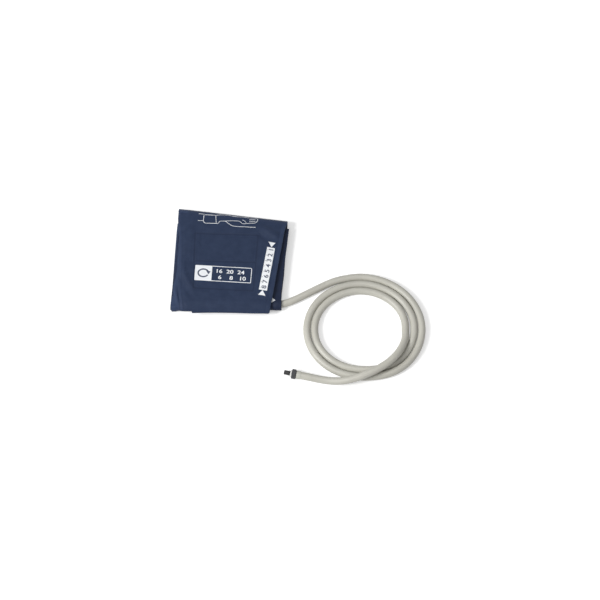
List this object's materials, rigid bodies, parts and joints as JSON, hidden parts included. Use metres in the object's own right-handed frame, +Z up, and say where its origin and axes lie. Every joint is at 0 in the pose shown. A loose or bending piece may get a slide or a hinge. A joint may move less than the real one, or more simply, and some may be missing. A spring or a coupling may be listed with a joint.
{
  "type": "blood pressure cuff",
  "caption": "Blood pressure cuff of coated nylon folded flat: hook-and-loop flap with a pull tab over a bladder sleeve, a coiled air hose and a barbed plug with a knurled lock ring.",
  "frame": {"origin": "middle of the base panel's underside, on the surface it lies on", "axes": "+X across the strip towards the edge the hose leaves, +Y towards the rear fold, +Z up"},
  "size_m": [0.2763, 0.201, 0.0184],
  "materials": {
    "nylon_cover": "fine plain weave, satin sheen, coated",
    "nylon_lining": "fine plain weave, matt",
    "bladder_film": "smooth film",
    "port_plastic": "moulded",
    "loop_tape": "brushed loop pile",
    "hook_tape": "rows of small hooks",
    "hose_rubber": "smooth, matt",
    "ferrule_rubber": "smooth, matt",
    "plug_plastic": "moulded",
    "seal_rubber": "smooth",
    "o_ring_rubber": "smooth",
    "ring_plastic": "moulded, knurled"
  },
  "bodies": {
    "body": {"body_outer_cover": "nylon_cover", "body_inner_cover": "nylon_lining", "bladder_outer_film": "bladder_film", "bladder_inner_film": "bladder_film", "bladder_port": "port_plastic", "loop_patch": "loop_tape", "hose_lead": "hose_rubber", "hose_coil": "hose_rubber", "hose_tail": "hose_rubber", "hose_ferrule": "ferrule_rubber", "plug_body": "plug_plastic", "plug_seal": "seal_rubber", "plug_o_ring": "o_ring_rubber"},
    "flap": {"flap_outer_cover": "nylon_cover", "flap_inner_cover": "nylon_lining", "hook_strip_rear": "hook_tape", "hook_strip_front": "hook_tape"},
    "pull_tab": {"tab_outer_cover": "nylon_cover", "tab_inner_cover": "nylon_lining"},
    "ring": {"lock_ring": "ring_plastic"}
  },
  "joints": [
    {"name": "flap_fold", "type": "hinge", "parent": "body", "child": "flap", "pos_m": [0, 0.0575, 0.0122], "axis": [-0.9973, 0.0731, 0], "range_deg": [0, 178]},
    {"name": "tab_fold", "type": "hinge", "parent": "flap", "child": "pull_tab", "pos_m": [0, -0.0424, 0.0122], "axis": [-0.999, -0.044, 0], "range_deg": [0, 135]},
    {"name": "ring_turn", "type": "hinge", "parent": "body", "child": "ring", "pos_m": [0.07778, -0.12174, 0.00535], "axis": [-0.9888, 0.1495, 0], "continuous": true}
  ]
}
